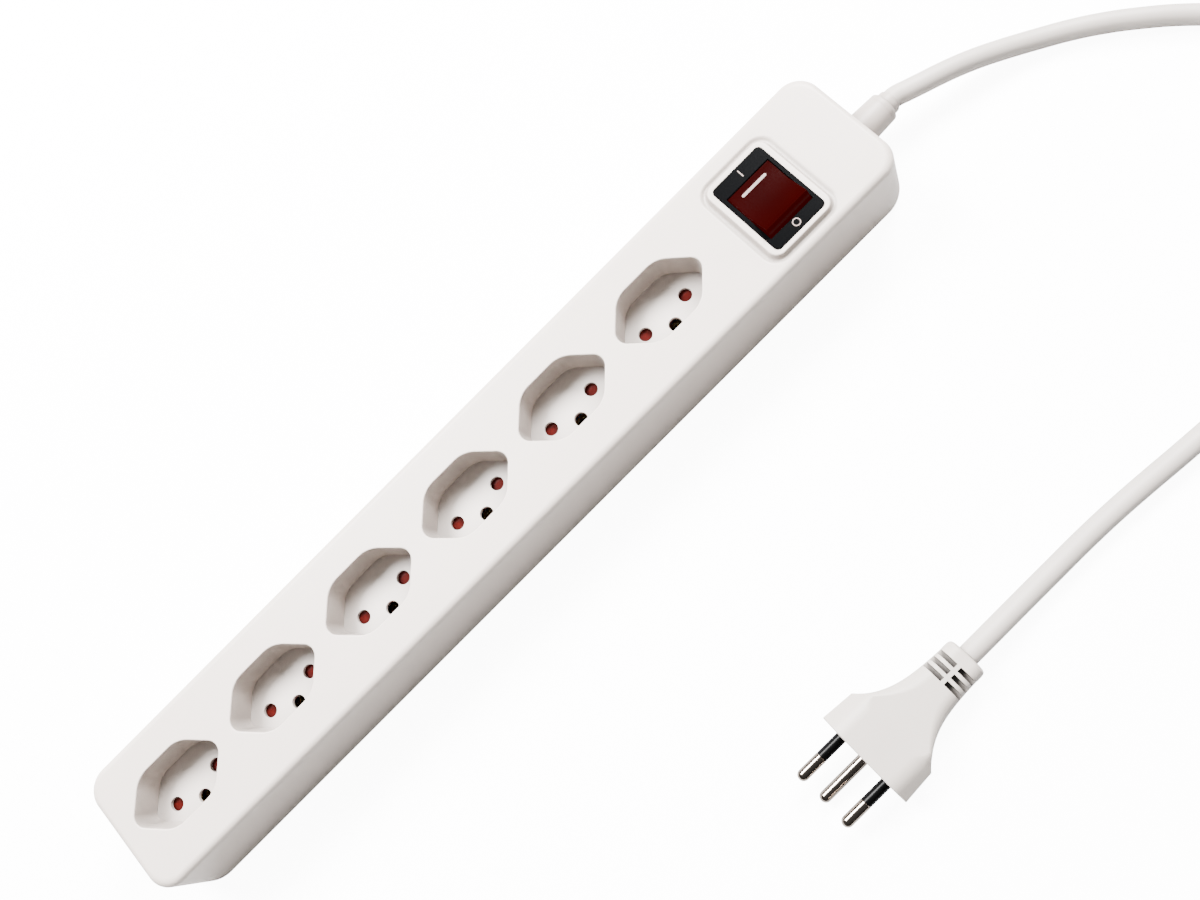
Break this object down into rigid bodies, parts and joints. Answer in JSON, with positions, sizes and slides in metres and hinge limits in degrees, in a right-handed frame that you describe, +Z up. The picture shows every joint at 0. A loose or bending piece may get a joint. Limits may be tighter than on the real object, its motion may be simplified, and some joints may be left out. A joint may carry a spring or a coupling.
{
  "type": "power strip",
  "caption": "Long power strip with recessed three-pin sockets, shutters, a lit rocker switch, a mains cord and a flat three-pin plug",
  "frame": {"origin": "middle of the housing's underside, without the gland, cord and plug", "axes": "+X along the housing towards the cord, +Y to the side away from the earth holes, +Z up"},
  "size_m": [0.4927, 0.2247, 0.0385],
  "materials": {
    "shell_white": "fine satin",
    "base_white": "satin",
    "screw_steel": "zinc plated",
    "insert_white": "satin",
    "shutter_red": "satin",
    "spring_steel": "drawn wire",
    "brass": "stamped",
    "switch_black": "semi-gloss",
    "rocker_red": "clear-tinted gloss",
    "copper": "stamped",
    "lamp_glass": "clear",
    "wire_brown": "satin",
    "wire_blue": "satin",
    "wire_green": "satin",
    "gland_white": "satin",
    "cord_white": "soft satin",
    "clamp_grey": "satin",
    "tie_black": "matte",
    "plug_white": "soft satin",
    "pin_nickel": "polished nickel",
    "sleeve_black": "semi-gloss"
  },
  "bodies": {
    "housing": {"upper_shell": "shell_white", "base_plate": "base_white", "housing_screws": "screw_steel", "live_busbar": "brass", "neutral_busbar": "brass", "earth_busbar": "brass", "switch_case": "switch_black", "switch_base": "switch_black", "switch_terminals": "brass", "bimetal_strip": "spring_steel", "neon_lamp": "lamp_glass", "wire_live_in": "wire_brown", "wire_live_out": "wire_brown", "wire_neutral": "wire_blue", "wire_earth": "wire_green", "cord_gland": "gland_white", "cord_tail": "cord_white", "cord_clamp": "clamp_grey", "clamp_screws": "screw_steel", "cord_from_strip": "cord_white", "cord_coil": "cord_white", "cord_tie": "tie_black", "cord_to_plug": "cord_white", "plug_body": "plug_white", "plug_live_pin": "pin_nickel", "plug_neutral_pin": "pin_nickel", "plug_earth_pin": "pin_nickel", "plug_live_sleeve": "sleeve_black", "plug_neutral_sleeve": "sleeve_black", "socket_insert_1": "insert_white", "shutter_spring_1": "spring_steel", "socket_insert_2": "insert_white", "shutter_spring_2": "spring_steel", "socket_insert_3": "insert_white", "shutter_spring_3": "spring_steel", "socket_insert_4": "insert_white", "shutter_spring_4": "spring_steel", "socket_insert_5": "insert_white", "shutter_spring_5": "spring_steel", "socket_insert_6": "insert_white", "shutter_spring_6": "spring_steel"},
    "rocker": {"rocker": "rocker_red", "rocker_spring": "spring_steel"},
    "contact_arm": {"contact_arm": "copper"},
    "shutter_1": {"shutter_1": "shutter_red"},
    "shutter_2": {"shutter_2": "shutter_red"},
    "shutter_3": {"shutter_3": "shutter_red"},
    "shutter_4": {"shutter_4": "shutter_red"},
    "shutter_5": {"shutter_5": "shutter_red"},
    "shutter_6": {"shutter_6": "shutter_red"}
  },
  "joints": [
    {"name": "rocker_tilt", "type": "hinge", "parent": "housing", "child": "rocker", "pos_m": [0.1309, -0.0021, 0.031], "axis": [1, 0, 0], "range_deg": [0, 18], "deforming": ["rocker_spring"]},
    {"name": "contact_arm_tilt", "type": "hinge", "parent": "housing", "child": "contact_arm", "pos_m": [0.1309, -0.0021, 0.01765], "axis": [1, 0, 0], "range_deg": [-12, 0]},
    {"name": "shutter_1_slide", "type": "slide", "parent": "housing", "child": "shutter_1", "axis": [0, 1, 0], "range_m": [0, 0.0052], "stiffness_N_per_m": 60, "springref_m": -0.002, "deforming": ["shutter_spring_1"]},
    {"name": "shutter_2_slide", "type": "slide", "parent": "housing", "child": "shutter_2", "axis": [0, 1, 0], "range_m": [0, 0.0052], "stiffness_N_per_m": 60, "springref_m": -0.002, "deforming": ["shutter_spring_2"]},
    {"name": "shutter_3_slide", "type": "slide", "parent": "housing", "child": "shutter_3", "axis": [0, 1, 0], "range_m": [0, 0.0052], "stiffness_N_per_m": 60, "springref_m": -0.002, "deforming": ["shutter_spring_3"]},
    {"name": "shutter_4_slide", "type": "slide", "parent": "housing", "child": "shutter_4", "axis": [0, 1, 0], "range_m": [0, 0.0052], "stiffness_N_per_m": 60, "springref_m": -0.002, "deforming": ["shutter_spring_4"]},
    {"name": "shutter_5_slide", "type": "slide", "parent": "housing", "child": "shutter_5", "axis": [0, 1, 0], "range_m": [0, 0.0052], "stiffness_N_per_m": 60, "springref_m": -0.002, "deforming": ["shutter_spring_5"]},
    {"name": "shutter_6_slide", "type": "slide", "parent": "housing", "child": "shutter_6", "axis": [0, 1, 0], "range_m": [0, 0.0052], "stiffness_N_per_m": 60, "springref_m": -0.002, "deforming": ["shutter_spring_6"]}
  ],
  "couplings": [
    {"joint": "contact_arm_tilt", "follows": "rocker_tilt", "ratio": -0.6667}
  ]
}
